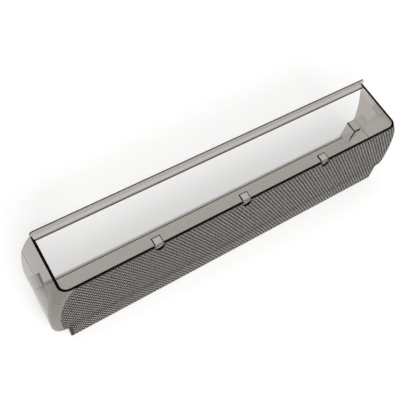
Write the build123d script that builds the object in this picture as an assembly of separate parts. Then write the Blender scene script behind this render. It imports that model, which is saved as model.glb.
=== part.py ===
from build123d import *
import os

os.makedirs("parts", exist_ok=True)

# Driving dimensions in millimetres. The shelf stands on z = 0. x runs along it from
# its middle, and y runs from the front panel towards the door.
wall = 2.4

# Seen from the front: the end walls swell out below the mouth
body_length = 471.2
shoulder_inset = 6.2
mouth_inset = 18.9
rim_height = 114.0
shoulder_height = 87.0
belly_height = 42.0
floor_height = 4.0

# Seen from the end: the front panel leans back as it rises, and the back is open
rim_depth = 63.9
floor_depth = 60.8
front_lean = 9.7
back_straight_height = 32.0
back_full_height = 88.0

# Bar across the open back: a strip level with the rim, a flange standing up along its
# far edge, and a short lip under its near edge
bar_run = 6.2
bar_rise = 8.5
bar_wall = 1.4
bar_lip = 3.0
bar_corner_radius = 4.5

# Free skirt below the front panel, and the notch beside each of its ends
skirt_inset = 6.3
notch_height = 28.0

# Pocket in each end that drops over a lug on the door. Its front wall runs forward to
# its foot, and a bead runs on from its ledge along the end wall.
pocket_inset = 11.6
pocket_depth = 13.2
pocket_foot = 6.0
pocket_foot_height = 17.0
ledge_height = 33.0
pocket_radius = 1.2
bead_height = 2.2
bead_depth = 0.4

# Back edge of the floor, bent down to the height of the skirt's foot
lip_run = 4.0

# Tabs from the front rim over the mouth, each with a round-footed window under it
tab_count = 3
tab_spacing = 108.0
tab_width = 10.3
tab_length = 10.8
tab_thickness = 1.8
window_depth = 10.0

# Radii of the moulded corners, outside
end_corner_radius = 9.5
front_floor_radius = 26.0

# Places worked out from the sizes above
half_body = body_length / 2
half_floor = half_body - pocket_inset
half_mouth = half_body - mouth_inset
back_depth = rim_depth + bar_run
front_rim_y = (front_lean - back_depth) / 2
rim_back_y = front_rim_y + rim_depth
back_y = front_rim_y + back_depth
floor_back_y = front_rim_y + floor_depth
top_height = rim_height + bar_rise
slope = front_lean / rim_height
wall_run = wall * (1 + slope ** 2) ** 0.5
spare = 2 * bar_rise
rim_overrun = 0.2


def inward(point, tangent, inset):
    """The point moved into the shelf, square to an outline that runs upwards there."""
    return point + Vector(-tangent.Y, tangent.X) * inset


def front_y(height):
    """Outer face of the leaning front panel at a height."""
    return front_rim_y - slope * (rim_height - height)


def across(face, half_length):
    """A face drawn as (y, z), made into a solid along the shelf."""
    return extrude(Plane.YZ * face, amount=half_length, both=True)


def end_face(inset):
    """The shelf seen from the front, drawn inset, its end walls carried on past the rim."""
    up = Vector(0, 1)
    belly = Vector(half_body, belly_height)
    shoulder = Vector(half_body - shoulder_inset, shoulder_height)
    mouth = Vector(half_mouth, rim_height)
    shoulder_up = TangentArc(belly, shoulder, tangent=up) % 1
    mouth_up = TangentArc(shoulder, mouth, tangent=shoulder_up) % 1
    belly = inward(belly, up, inset)
    shoulder = inward(shoulder, shoulder_up, inset)
    mouth = inward(mouth, mouth_up, inset)
    past_rim = TangentArc(shoulder, mouth, tangent=shoulder_up).trim(0, 1 + rim_overrun)
    crown = past_rim @ 1 + (past_rim % 1) * spare
    base = floor_height + inset
    right = [
        Line((belly.X, base), belly),
        TangentArc(belly, shoulder, tangent=up),
        past_rim,
        Line(past_rim @ 1, crown),
    ]
    left = [edge.mirror(Plane.YZ) for edge in right]
    bottom = Line((-belly.X, base), (belly.X, base))
    top = Line((-crown.X, crown.Y), (crown.X, crown.Y))
    return make_face([bottom, *right, top, *left])


def side_face(inset):
    """The shelf seen from its end, drawn inset and carried up and back past its edges."""
    low = floor_height + inset
    high = top_height + 2 * spare
    run = wall_run * inset / wall
    foot = (front_y(low) + run, low)
    head = (front_y(high) + run, high)
    face = make_face(Polyline(foot, head, (back_y + spare, high), (back_y + spare, low), close=True))
    return fillet(face.vertices().sort_by(Axis.X)[0], front_floor_radius - inset)


def block(inset):
    """The trough as one solid, with the edges where its end walls turn in rounded."""
    depth = back_y - front_y(0) + spare
    lengthwise = across(side_face(inset), body_length)
    solid = extrude(Plane.XZ * end_face(inset), amount=depth, both=True) & lengthwise
    skin = [face for face in solid.faces() if face.normal_at().Y < -0.5 or face.normal_at().Z < -0.5]
    ends = [edge for face in skin for edge in face.edges() if abs((edge % 0.5).X) < 0.9]
    return fillet(ends, end_corner_radius - inset)


def pocket(grow):
    """Space for the door's lug at the right-hand end, or the same space grown by a wall."""
    front = floor_back_y - pocket_depth - grow
    foot = front - pocket_foot
    far = back_y + spare
    high = ledge_height + grow
    curve = TangentArc((front, pocket_foot_height), (foot, 0), tangent=(0, -1))
    upper = Polyline((far, -spare), (far, high), (front, high), (front, pocket_foot_height))
    lower = Polyline((foot, 0), (foot, -spare), (far, -spare))
    profile = Plane.YZ * make_face([curve, *upper.edges(), *lower.edges()])
    space = Pos(X=half_floor - grow) * extrude(profile, amount=pocket_inset + grow + spare)
    corner = space.edges().filter_by(GeomType.CIRCLE).sort_by(Axis.X)[0]
    brow = space.edges().filter_by(Axis.X).sort_by_distance((half_floor, front, high))[0]
    return fillet([corner, brow], pocket_radius + grow)


def bead():
    """Low bead along the inside of the right-hand end wall, level with the pocket's ledge."""
    inner = half_body - wall
    low = ledge_height + wall
    length = back_y - front_y(0)
    solid = Pos(inner - bead_depth, front_y(0), low) * Box(
        bead_depth + wall / 2, length, bead_height, align=(Align.MIN, Align.MIN, Align.MIN)
    )
    return solid & outer


def trim():
    """Everything below the rim and in front of the open back."""
    outline = Polyline(
        (front_y(0) - spare, -spare),
        (front_y(0) - spare, rim_height),
        (back_y, rim_height),
        (back_y, back_full_height),
        (floor_back_y, back_straight_height),
        (floor_back_y, -spare),
        close=True,
    )
    return across(make_face(outline), body_length)


def skirt():
    """The front panel's plate carried straight down past the floor's rounded corner."""
    straight_half = half_body - end_corner_radius
    half = straight_half - skirt_inset
    right = [
        Line((half, 0), (half, notch_height - skirt_inset)),
        TangentArc((half, notch_height - skirt_inset), (straight_half, notch_height), tangent=(0, 1)),
        Line((straight_half, notch_height), (straight_half, belly_height)),
    ]
    left = [edge.mirror(Plane.YZ) for edge in right]
    bottom = Line((-half, 0), (half, 0))
    top = Line((-straight_half, belly_height), (straight_half, belly_height))
    outline = extrude(Plane.XZ * make_face([bottom, *right, top, *left]), amount=back_depth, both=True)
    plate = Polyline(
        (front_y(0), 0),
        (front_y(belly_height), belly_height),
        (front_y(belly_height) + wall_run, belly_height),
        (front_y(0) + wall_run, 0),
        close=True,
    )
    return across(make_face(plate), body_length) & outline


def floor_lip():
    """Back edge of the floor, a strip that slants down to the height of the skirt's foot."""
    along = Vector(lip_run, -floor_height).normalized()
    under = Vector(floor_back_y - lip_run, floor_height + wall) + Vector(along.Y, -along.X) * wall
    heel = under - along * (under.Y / along.Y)
    hollow = under + along * ((floor_height - under.Y) / along.Y)
    outline = Polyline(
        (floor_back_y - 2 * lip_run, floor_height),
        (floor_back_y - 2 * lip_run, floor_height + wall),
        (floor_back_y - lip_run, floor_height + wall),
        (floor_back_y, wall),
        (floor_back_y, 0),
        heel,
        hollow,
        close=True,
    )
    return across(make_face(outline), half_floor)


def lip_slope():
    """What the slant takes off the floor's back edge between the two pockets."""
    top = floor_height + wall
    corner = Polyline((floor_back_y - lip_run, top), (floor_back_y, top), (floor_back_y, wall), close=True)
    return across(make_face(corner), half_floor - wall)


def bar():
    """Strip, flange and lip across the open back, with the flange's ends rounded."""
    low = rim_height - bar_lip
    section = Polyline(
        (rim_back_y, rim_height),
        (back_y - bar_wall, rim_height),
        (back_y - bar_wall, top_height),
        (back_y, top_height),
        (back_y, rim_height - bar_wall),
        (rim_back_y + bar_wall, rim_height - bar_wall),
        (rim_back_y + bar_wall, low),
        (rim_back_y, low),
        close=True,
    )
    outline = Pos(Y=low) * Rectangle(2 * half_mouth, top_height - low, align=(Align.CENTER, Align.MIN))
    outline = fillet(outline.vertices().group_by(Axis.Y)[-1], bar_corner_radius)
    ends = extrude(Plane.XZ * outline, amount=back_depth, both=True)
    return across(make_face(section), body_length) & ends


def tab():
    """One flat tab in the middle of the front rim."""
    place = Pos(0, front_rim_y, rim_height)
    return place * Box(tab_width, tab_length, tab_thickness, align=(Align.CENTER, Align.MIN, Align.MAX))


def window():
    """Round-footed opening through the front panel, as wide as the tab over it."""
    radius = tab_width / 2
    centre = rim_height - window_depth + radius
    height = rim_height - tab_thickness - centre
    opening = Circle(radius) + Rectangle(tab_width, height, align=(Align.CENTER, Align.MIN))
    return Pos(0, front_rim_y, centre) * extrude(Plane.XZ * opening, amount=2 * wall, both=True)


outer = block(0)
right_pocket = pocket(0)
left_pocket = mirror(right_pocket, Plane.YZ)
right_fittings = (pocket(wall) & outer) + bead()
shell = outer - block(wall) + right_fittings + mirror(right_fittings, Plane.YZ)
shell = (shell - right_pocket - left_pocket) & trim()
shelf = shell + skirt() + bar() + floor_lip() - lip_slope()
tab_places = GridLocations(tab_spacing, 0, tab_count, 1)
shelf = shelf - [place * window() for place in tab_places] + [place * tab() for place in tab_places]
export_step(shelf, "parts/door_shelf.step")
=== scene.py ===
import math

import bmesh
import bpy
from mathutils import Matrix, Vector
from mathutils.bvhtree import BVHTree


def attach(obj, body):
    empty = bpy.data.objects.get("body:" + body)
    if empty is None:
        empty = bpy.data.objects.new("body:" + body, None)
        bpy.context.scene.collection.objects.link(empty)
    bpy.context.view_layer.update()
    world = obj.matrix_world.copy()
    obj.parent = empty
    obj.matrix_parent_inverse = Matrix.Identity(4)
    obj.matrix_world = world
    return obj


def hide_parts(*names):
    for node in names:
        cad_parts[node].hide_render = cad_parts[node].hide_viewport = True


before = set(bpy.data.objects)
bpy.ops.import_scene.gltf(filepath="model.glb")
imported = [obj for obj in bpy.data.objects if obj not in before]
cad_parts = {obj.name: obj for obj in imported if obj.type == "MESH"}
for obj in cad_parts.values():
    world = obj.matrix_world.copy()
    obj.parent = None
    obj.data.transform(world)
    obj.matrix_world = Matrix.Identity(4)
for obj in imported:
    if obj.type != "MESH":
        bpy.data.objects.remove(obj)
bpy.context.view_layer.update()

# The table the shelf stands on: a plain pale sheet under a soft, even light, as in a
# product studio. Seen directly or through the plastic its clear parts are white, and the
# shelf's shadow stays on it. Its glow is weaker near the shelf and grows away from it:
# a painted shade round the shelf.
floor_half = 3.0
floor_drop = 0.0005
floor_colour = (0.86, 0.855, 0.845, 1)
white = (1, 1, 1, 1)
shelf_half = (0.24, 0.05, 0)
whitening_reach = 0.45
white_near_shelf = 0.37
white_far_off = 0.64
through_plastic_colour = (1, 0.985, 0.965, 1)
through_plastic_strength = 0.7
through_plastic_share = 0.7


def math_node(tree, operation, first, second=None):
    """One maths step in a node tree; a number or a socket goes into each input."""
    node = tree.nodes.new("ShaderNodeMath")
    node.operation = operation
    for index, value in enumerate((first, second)):
        if value is None:
            continue
        if isinstance(value, (int, float)):
            node.inputs[index].default_value = value
        else:
            tree.links.new(value, node.inputs[index])
    return node.outputs[0]


floor_paint = bpy.data.materials.new("studio_floor")
floor_paint.use_nodes = True
nodes, links = floor_paint.node_tree.nodes, floor_paint.node_tree.links
nodes.clear()
matt = nodes.new("ShaderNodeBsdfDiffuse")
matt.inputs["Color"].default_value = floor_colour
path = nodes.new("ShaderNodeLightPath")
seen = math_node(floor_paint.node_tree, "MAXIMUM", path.outputs["Is Camera Ray"], path.outputs["Is Glossy Ray"])
from_shelf = nodes.new("ShaderNodeTexCoord").outputs["Object"]
nothing = (0, 0, 0)
distance_steps = (("ABSOLUTE", nothing), ("SUBTRACT", shelf_half), ("MAXIMUM", nothing), ("LENGTH", nothing))
for operation, second in distance_steps:
    node = nodes.new("ShaderNodeVectorMath")
    node.operation = operation
    node.inputs[1].default_value = second
    links.new(from_shelf, node.inputs[0])
    from_shelf = node.outputs["Value" if operation == "LENGTH" else "Vector"]
# Weaker glow near the shelf: painted shade round it, on top of its real shadow.
whiteness = nodes.new("ShaderNodeMapRange")
whiteness.inputs["From Max"].default_value = whitening_reach
whiteness.inputs["To Min"].default_value = white_near_shelf
whiteness.inputs["To Max"].default_value = white_far_off
links.new(from_shelf, whiteness.inputs["Value"])
glow = nodes.new("ShaderNodeEmission")
glow.inputs["Color"].default_value = white
links.new(math_node(floor_paint.node_tree, "MULTIPLY", seen, whiteness.outputs[0]), glow.inputs["Strength"])
direct = nodes.new("ShaderNodeAddShader")
links.new(matt.outputs[0], direct.inputs[0])
links.new(glow.outputs[0], direct.inputs[1])
sheer = nodes.new("ShaderNodeEmission")
sheer.inputs["Color"].default_value = through_plastic_colour
sheer.inputs["Strength"].default_value = through_plastic_strength
sent_through = path.outputs["Is Transmission Ray"]
sheer_share = math_node(floor_paint.node_tree, "MULTIPLY", sent_through, through_plastic_share)
blend = nodes.new("ShaderNodeMixShader")
links.new(sheer_share, blend.inputs["Fac"])
links.new(direct.outputs[0], blend.inputs[1])
links.new(sheer.outputs[0], blend.inputs[2])
result = nodes.new("ShaderNodeOutputMaterial")
links.new(blend.outputs[0], result.inputs["Surface"])

floor_mesh = bpy.data.meshes.new("studio_floor")
corners = [(x * floor_half, y * floor_half, -floor_drop) for x, y in ((-1, -1), (1, -1), (1, 1), (-1, 1))]
floor_mesh.from_pydata(corners, [], [(0, 1, 2, 3)])
floor_mesh.materials.append(floor_paint)
studio_floor = bpy.data.objects.new("studio_floor", floor_mesh)
bpy.context.scene.collection.objects.link(studio_floor)

# The plastic: one injection moulding in clear plastic tinted a warm smoke grey and
# polished. The tint is in the body of the plastic, so a wall seen edge on goes black.
# Marks on its faces say where it is frosted, and where shade is painted on: matt and dark on the hatch, black
# at cut edges.
smoke_tint = (0.675, 0.642, 0.608, 1)
smoke_density = 640.0
# Base colours of the marks: painted shade on the hatch, the light frost, and painted black on edges.
flank_painted_shade_colour = (0.03, 0.017, 0.008)
frost_colour = (0.85, 0.82, 0.79)
painted_black_edge_colour = (0.004, 0.003, 0.002)

smoked_plastic = bpy.data.materials.new("smoked_plastic")
smoked_plastic.use_nodes = True
nodes, links = smoked_plastic.node_tree.nodes, smoked_plastic.node_tree.links
surface = nodes["Principled BSDF"]
marks = []
for mark in ("painted_shade", "frost", "edge"):
    marks.append(nodes.new("ShaderNodeAttribute"))
    marks[-1].attribute_name = mark
surface_colour = nodes.new("ShaderNodeCombineColor")
# Each socket: its value where the plastic is polished, then under painted shade on the hatch, on frost and
# under a painted black edge
settings = [(surface.inputs["Roughness"], 0.03, (0.3, 0.1, 0.25))]
settings.append((surface.inputs["Transmission Weight"], 1.0, (0.42, 0.5, 0.0)))
settings.append((surface.inputs["Specular IOR Level"], 0.5, (0.0, 0.5, 0.2)))
for channel, tones in enumerate(zip(flank_painted_shade_colour, frost_colour, painted_black_edge_colour)):
    settings.append((surface_colour.inputs[channel], 1.0, tones))
for socket, polished, marked in settings:
    so_far = None
    for mark, value in zip(marks, marked):
        turned = nodes.new("ShaderNodeMapRange")
        turned.inputs["To Min"].default_value = polished
        turned.inputs["To Max"].default_value = value
        links.new(mark.outputs["Fac"], turned.inputs["Value"])
        if so_far:
            links.new(so_far, turned.inputs["To Min"])
        so_far = turned.outputs[0]
    links.new(so_far, socket)
links.new(surface_colour.outputs[0], surface.inputs["Base Color"])
tint = nodes.new("ShaderNodeVolumeAbsorption")
tint.inputs["Color"].default_value = smoke_tint
tint.inputs["Density"].default_value = smoke_density
links.new(tint.outputs[0], nodes["Material Output"].inputs["Volume"])

# The hatch on the front panel: small flat-topped diamonds between two families of
# crossing V grooves, cut into the mould, so they stand proud of the outer face only.
# It is made as a sheet lying flat, with a root that sinks into the panel's plastic.
diamond_width = 0.00413
diamond_height = 0.00716
diamond_relief = 0.00042
diamond_top_share = 0.6
root_depth = 0.0008
ground_thickness = 0.00003
lattice_middle = 0.0574
hatch_rows = 36
hatch_columns = 240
weld_distance = 1e-6

hatch = bpy.data.node_groups.new("diamond_hatch", "GeometryNodeTree")
hatch.interface.new_socket("Geometry", in_out="OUTPUT", socket_type="NodeSocketGeometry")
sizes = {}
for label, value in (
    ("Diamond Width", diamond_width),
    ("Diamond Height", diamond_height),
    ("Relief", diamond_relief),
    ("Top Share", diamond_top_share),
    ("Root Depth", root_depth),
    ("Ground", ground_thickness),
):
    socket = hatch.interface.new_socket(label, in_out="INPUT", socket_type="NodeSocketFloat")
    socket.default_value = value
    sizes[socket.identifier] = value
material_socket = hatch.interface.new_socket("Material", in_out="INPUT", socket_type="NodeSocketMaterial")
nodes, links = hatch.nodes, hatch.links
given = nodes.new("NodeGroupInput")
out = nodes.new("NodeGroupOutput")

grid = nodes.new("GeometryNodeMeshGrid")
cells = hatch_columns + hatch_rows
for side in ("X", "Y"):
    grid.inputs["Size " + side].default_value = cells
    grid.inputs["Vertices " + side].default_value = cells + 1
grid_point = nodes.new("GeometryNodeInputPosition")
apart = nodes.new("ShaderNodeSeparateXYZ")
links.new(grid_point.outputs[0], apart.inputs[0])
across = math_node(hatch, "ADD", apart.outputs[0], apart.outputs[1])
upward = math_node(hatch, "SUBTRACT", apart.outputs[1], apart.outputs[0])
along = math_node(hatch, "MULTIPLY", math_node(hatch, "MULTIPLY", across, given.outputs["Diamond Width"]), 0.5)
rise = math_node(hatch, "MULTIPLY", math_node(hatch, "MULTIPLY", upward, given.outputs["Diamond Height"]), 0.5)
rise = math_node(hatch, "ADD", rise, lattice_middle)
together = nodes.new("ShaderNodeCombineXYZ")
links.new(along, together.inputs[0])
links.new(rise, together.inputs[1])
lattice = nodes.new("GeometryNodeSetPosition")
links.new(grid.outputs["Mesh"], lattice.inputs["Geometry"])
links.new(together.outputs[0], lattice.inputs["Position"])

root = nodes.new("GeometryNodeTransform")
down = nodes.new("ShaderNodeCombineXYZ")
links.new(math_node(hatch, "MULTIPLY", given.outputs["Root Depth"], -1), down.inputs[2])
links.new(lattice.outputs[0], root.inputs["Geometry"])
links.new(down.outputs[0], root.inputs["Translation"])
underside = nodes.new("GeometryNodeFlipFaces")
links.new(root.outputs[0], underside.inputs[0])
plate = nodes.new("GeometryNodeExtrudeMesh")
plate.mode = "FACES"
plate.inputs["Individual"].default_value = False
upright = nodes.new("ShaderNodeCombineXYZ")
upright.inputs[2].default_value = 1.0
plate_thickness = math_node(hatch, "ADD", given.outputs["Root Depth"], given.outputs["Ground"])
links.new(root.outputs[0], plate.inputs["Mesh"])
links.new(upright.outputs[0], plate.inputs["Offset"])
links.new(plate_thickness, plate.inputs["Offset Scale"])
stand = nodes.new("GeometryNodeExtrudeMesh")
stand.mode = "FACES"
stand.inputs["Individual"].default_value = True
links.new(plate.outputs["Mesh"], stand.inputs["Mesh"])
links.new(plate.outputs["Top"], stand.inputs["Selection"])
links.new(upright.outputs[0], stand.inputs["Offset"])
links.new(given.outputs["Relief"], stand.inputs["Offset Scale"])
taper = nodes.new("GeometryNodeScaleElements")
taper.domain = "FACE"
links.new(stand.outputs["Mesh"], taper.inputs["Geometry"])
links.new(stand.outputs["Top"], taper.inputs["Selection"])
links.new(given.outputs["Top Share"], taper.inputs["Scale"])
joined = nodes.new("GeometryNodeJoinGeometry")
links.new(taper.outputs[0], joined.inputs[0])
links.new(underside.outputs[0], joined.inputs[0])
welded = nodes.new("GeometryNodeMergeByDistance")
welded.inputs["Distance"].default_value = weld_distance
links.new(joined.outputs[0], welded.inputs["Geometry"])
real = nodes.new("GeometryNodeRealizeInstances")
links.new(welded.outputs[0], real.inputs[0])
coat = nodes.new("GeometryNodeSetMaterial")
links.new(real.outputs[0], coat.inputs["Geometry"])
links.new(given.outputs["Material"], coat.inputs["Material"])
links.new(coat.outputs[0], out.inputs[0])


def finished_mesh(thing):
    """A plain mesh of the object as its modifiers leave it, with the modifiers removed."""
    mesh = bpy.data.meshes.new_from_object(thing.evaluated_get(bpy.context.evaluated_depsgraph_get()))
    thing.modifiers.clear()
    return mesh


hatch_holder = bpy.data.objects.new("hatch_sheet", bpy.data.meshes.new("hatch_sheet"))
bpy.context.scene.collection.objects.link(hatch_holder)
maker = hatch_holder.modifiers.new("diamond_hatch", "NODES")
maker.node_group = hatch
for identifier, value in sizes.items():
    maker[identifier] = value
maker[material_socket.identifier] = smoked_plastic
hatch_mesh = finished_mesh(hatch_holder)

# The edge of the hatch. The sheet is cut to the panel's outline while it lies flat: the
# outline draws in towards the rim, follows the rounded ends and runs round the windows.
panel_rise = 0.1141
panel_foot_gap = 0.0003
notch_low = 0.0275
notch_level = 0.028
notch_high = 0.029
skirt_half = 0.2195
left_belly_half = 0.225
left_draw_in = 0.023
right_belly_half = 0.2325
right_draw_in = 0.0195
belly_rise = 0.042
draw_in_power = 2.3
outline_steps = 24
cutter_depth = 0.02
window_spacing = 0.108
window_radius = 0.0053
window_depth = 0.0102
window_steps = 12


def hatch_half(height, belly_half, draw_in):
    """How far the hatch runs from the panel's middle towards one end, at a height."""
    if height < notch_level:
        return skirt_half
    return belly_half - draw_in * max(0, (height - belly_rise) / (panel_rise - belly_rise)) ** draw_in_power


levels = [panel_foot_gap, notch_low, notch_high]
for step in range(1, outline_steps + 1):
    levels.append(notch_high + (panel_rise - notch_high) * step / outline_steps)
right_side = [(hatch_half(level, right_belly_half, right_draw_in), level) for level in levels]
left_side = [(-hatch_half(level, left_belly_half, left_draw_in), level) for level in levels]
tab_middles = [place * window_spacing for place in (-1, 0, 1)]
windows = []
for middle in reversed(tab_middles):
    windows.append((middle + window_radius, panel_rise))
    for step in range(window_steps + 1):
        turn = math.pi * step / window_steps
        across_window = middle + window_radius * math.cos(turn)
        windows.append((across_window, panel_rise - window_depth + window_radius * (1 - math.sin(turn))))
    windows.append((middle - window_radius, panel_rise))
outline = right_side + windows + left_side[::-1]
shape = bmesh.new()
face = shape.faces.new([shape.verts.new((x, y, -cutter_depth / 2)) for x, y in outline])
raised = bmesh.ops.extrude_face_region(shape, geom=[face])["geom"]
upper = [part for part in raised if isinstance(part, bmesh.types.BMVert)]
bmesh.ops.translate(shape, verts=upper, vec=(0, 0, cutter_depth))
bmesh.ops.recalc_face_normals(shape, faces=shape.faces)
bmesh.ops.triangulate(shape, faces=shape.faces)
cutter_mesh = bpy.data.meshes.new("panel_outline")
shape.to_mesh(cutter_mesh)
shape.free()
panel_outline = bpy.data.objects.new("panel_outline", cutter_mesh)
bpy.context.scene.collection.objects.link(panel_outline)
hatch_holder.data = hatch_mesh
trimmer = hatch_holder.modifiers.new("outline", "BOOLEAN")
trimmer.operation = "INTERSECT"
trimmer.solver = "MANIFOLD"
trimmer.object = panel_outline
hatch_mesh = finished_mesh(hatch_holder)
bpy.data.objects.remove(panel_outline)

# Marks on the sheet, read by the plastic: the flanks of the grooves are matt and painted dark, a painted shade,
# and the flat tops of the diamonds take a share of that painted shade.
hatch_top_painted_shade = 0.38
flank_steepest = 0.2
top_flattest = 0.99

shape = bmesh.new()
shape.from_mesh(hatch_mesh)
painted_shade_layer = shape.faces.layers.float.new("painted_shade")
for face in shape.faces:
    if face.calc_center_median().z > 0 and face.normal.z > flank_steepest:
        face[painted_shade_layer] = hatch_top_painted_shade if face.normal.z > top_flattest else 1.0
shape.to_mesh(hatch_mesh)
shape.free()

# The sheet stood up on the panel. Past the flat part of the panel its points follow the
# rounded corner, each as far out from it as it was above the sheet.
rim_height = 0.114
front_lean = 0.0097
panel_lean = math.atan(front_lean / rim_height)
panel_foot = Vector((0, -0.0399, 0))
corner_start = 0.2
in_front = -0.1
towards_door = Vector((0, 1, 0))

shelf_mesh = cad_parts["door_shelf"].data.copy()
shelf_mesh.name = "shelf_body"
skin = BVHTree.FromPolygons([v.co for v in shelf_mesh.vertices], [p.vertices for p in shelf_mesh.polygons])
stand_up = Matrix.Translation(panel_foot) @ Matrix.Rotation(math.pi / 2 - panel_lean, 4, "X")
for vertex in hatch_mesh.vertices:
    foot_point = stand_up @ Vector((vertex.co.x, vertex.co.y, 0))
    place, normal = skin.ray_cast(Vector((foot_point.x, in_front, foot_point.z)), towards_door)[:2]
    if foot_point.x > corner_start and foot_point.z > notch_level and place and place.y < 0:
        vertex.co = place + normal * vertex.co.z
    else:
        vertex.co = stand_up @ vertex.co
hatch_holder.data = hatch_mesh

# The shelf itself: one injection moulding in smoked plastic. The body comes as modelled,
# and the hatch is fused to its front, so both are one skin.
shape = bmesh.new()
shape.from_mesh(shelf_mesh)
bmesh.ops.remove_doubles(shape, verts=shape.verts, dist=weld_distance)
shape.to_mesh(shelf_mesh)
shape.free()
shelf_body = bpy.data.objects.new("shelf_body", shelf_mesh)
bpy.context.scene.collection.objects.link(shelf_body)
fuse = shelf_body.modifiers.new("hatch", "BOOLEAN")
fuse.operation = "UNION"
fuse.solver = "MANIFOLD"
fuse.object = hatch_holder
fused = finished_mesh(shelf_body)
fused.materials.clear()
fused.materials.append(smoked_plastic)
shelf_body.data = fused
bpy.data.objects.remove(hatch_holder)

# Tops of the three tabs: light plates with a border painted black along their free edges and on their upright
# sides, a painted shade.
# The moulding has them level with the rim, so they are first divided along the borders.
level_within = 0.0003
rim_inner = -0.0277
tab_half = 0.00515
tab_back = -0.0194
tab_border = 0.0009
tab_zone = (-0.0276, -0.0192)
tab_under = 0.1121
tabs_reach = 0.12
facing = 0.9
upright_within = 0.1

shape = bmesh.new()
shape.from_mesh(fused)
painted_shade_layer = shape.faces.layers.float["painted_shade"]
frost_layer = shape.faces.layers.float.new("frost")
painted_black_edge_layer = shape.faces.layers.float.new("edge")
tab_cuts = [((0, rim_inner, 0), (0, 1, 0)), ((0, tab_back - tab_border, 0), (0, 1, 0))]
for tab_middle in tab_middles:
    for side in (-1, 1):
        tab_cuts.append(((tab_middle + side * (tab_half - tab_border), 0, 0), (1, 0, 0)))
for point, square in tab_cuts:
    tops = []
    for face in shape.faces:
        middle = face.calc_center_median()
        near_tabs = middle.y < tab_zone[1] and abs(middle.x) < tabs_reach
        if face.normal.z > facing and abs(middle.z - rim_height) < level_within and near_tabs:
            tops += [face, *face.edges, *face.verts]
    bmesh.ops.bisect_plane(
        shape, geom=list(dict.fromkeys(tops)), plane_co=point, plane_no=square, dist=weld_distance
    )
for face in shape.faces:
    face.material_index = 0
    face.smooth = face[painted_shade_layer] == 0
    middle = face.calc_center_median()
    if tab_zone[0] < middle.y < tab_zone[1] and middle.z > tab_under and abs(middle.x) < tabs_reach:
        if face.normal.z > facing:
            from_middle = min(abs(middle.x - tab_middle) for tab_middle in tab_middles)
            on_border = from_middle > tab_half - tab_border or middle.y > tab_back - tab_border
            face[painted_black_edge_layer if on_border else frost_layer] = 1.0
        elif abs(face.normal.z) < upright_within:
            face[painted_black_edge_layer] = 1.0

# Cut edges that look black in tinted plastic are painted black, as painted shade: the ends of the skirt, the
# rim over the end walls and the ends of the bar. The near edge of the bar is a dark line of the hatch's painted
# shade.
skirt_back = -0.0345
skirt_top = 0.0285
skirt_strip = 0.2165
skirt_end = 0.2205
notch_end = 0.2262
turned_outward = 0.3
end_wall_start = 0.2
bar_near = 0.0337
bar_near_within = 0.0002
bar_under = 0.1126
bar_lip = (0.1111, 0.1139)
bar_end_outward = 0.5

for face in shape.faces:
    middle = face.calc_center_median()
    outward = abs(middle.x)
    at_skirt_end = middle.y < skirt_back and middle.z < skirt_top and skirt_strip < outward < notch_end
    on_hatch = face[painted_shade_layer] > 0 and outward < skirt_end
    if at_skirt_end and (on_hatch or abs(face.normal.x) > turned_outward):
        face[painted_black_edge_layer] = 1.0
    on_rim = abs(middle.z - rim_height) < level_within and middle.y < bar_near
    if on_rim and face.normal.z > facing and outward > end_wall_start:
        face[painted_black_edge_layer] = 1.0
    if middle.y > bar_near and middle.z > bar_under and abs(face.normal.x) > bar_end_outward:
        face[painted_black_edge_layer] = 1.0
    on_lip = abs(middle.y - bar_near) < bar_near_within and bar_lip[0] < middle.z < bar_lip[1]
    if on_lip and face.normal.y < -facing:
        face[painted_shade_layer] = 1.0

# Shading of the finished skin, as the mould leaves it: smooth round the radii and crisp
# at the edges.
crease = math.radians(24)

for edge in shape.edges:
    turn = edge.calc_face_angle(math.pi) if edge.is_manifold else math.pi
    edge.smooth = turn < crease
shape.to_mesh(fused)
shape.free()
weigh = shelf_body.modifiers.new("face_weights", "WEIGHTED_NORMAL")
weigh.keep_sharp = True
weigh.weight = 100
shelf_body.data = finished_mesh(shelf_body)
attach(shelf_body, "root")
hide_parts("door_shelf")

# Studio: a white sweep behind the shelf, seen directly or straight through the plastic,
# and a dim ceiling, which keeps reflections in the rim dark. Light that has left a matt
# surface meets an even fill.
fill_strength = 0.45
sweep_strength = 1.0
ceiling_strength = 0.1

room = bpy.data.worlds.new("studio_room")
bpy.context.scene.world = room
room.use_nodes = True
nodes, links = room.node_tree.nodes, room.node_tree.links
nodes.clear()


def wall_of_light(strength):
    """A plain white part of the studio, of one strength."""
    part = nodes.new("ShaderNodeBackground")
    part.inputs["Color"].default_value = white
    part.inputs["Strength"].default_value = strength
    return part.outputs[0]


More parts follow.
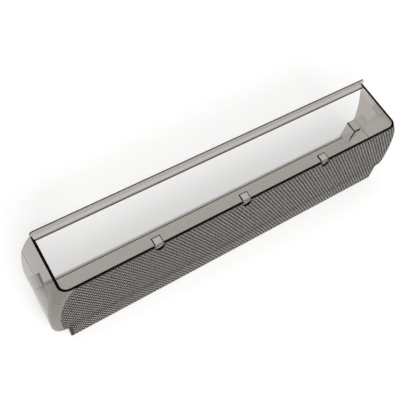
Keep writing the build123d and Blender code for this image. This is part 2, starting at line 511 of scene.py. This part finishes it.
path = nodes.new("ShaderNodeLightPath")
inner = nodes.new("ShaderNodeMixShader")
links.new(math_node(room.node_tree, "GREATER_THAN", path.outputs["Diffuse Depth"], 0.5), inner.inputs["Fac"])
links.new(wall_of_light(ceiling_strength), inner.inputs[1])
links.new(wall_of_light(fill_strength), inner.inputs[2])
unturned = math_node(room.node_tree, "LESS_THAN", path.outputs["Glossy Depth"], 0.5)
straight = math_node(room.node_tree, "MULTIPLY", path.outputs["Is Transmission Ray"], unturned)
blend = nodes.new("ShaderNodeMixShader")
links.new(math_node(room.node_tree, "MAXIMUM", path.outputs["Is Camera Ray"], straight), blend.inputs["Fac"])
links.new(inner.outputs[0], blend.inputs[1])
links.new(wall_of_light(sweep_strength), blend.inputs[2])
result = nodes.new("ShaderNodeOutputWorld")
links.new(blend.outputs[0], result.inputs["Surface"])

# The lamp: one large soft box in front of the shelf, above it and a little to its left,
# so that the right-hand end is the darker one.
lamp = bpy.data.lights.new("soft_box", "AREA")
lamp.shape = "RECTANGLE"
lamp.size = 1.0
lamp.size_y = 0.7
lamp.energy = 12.0
soft_box = bpy.data.objects.new("soft_box", lamp)
soft_box.location = (-0.3, -1.0, 1.0)
soft_box.rotation_euler = (Vector((0, 0, 0)) - soft_box.location).to_track_quat("-Z", "Y").to_euler()
bpy.context.scene.collection.objects.link(soft_box)

# The camera: above the shelf and to its left, looking down at its front and mouth, with
# the shelf running away from it to the right.
lens = bpy.data.cameras.new("camera")
lens.sensor_width = 36.0
lens.lens = 50.66
lens.clip_start = 0.05
camera = bpy.data.objects.new("camera", lens)
stand_point = Matrix.Translation((-0.2483, -0.2132, 0.6627))
right = Vector((0.8441, -0.5203, 0.1299))
up = Vector((0.4209, 0.7929, 0.4407))
back = Vector((-0.3323, -0.3173, 0.8882))
camera.matrix_world = stand_point @ Matrix((right, up, back)).transposed().to_4x4()
bpy.context.scene.collection.objects.link(camera)
bpy.context.scene.camera = camera
bpy.context.scene.view_settings.view_transform = "Standard"
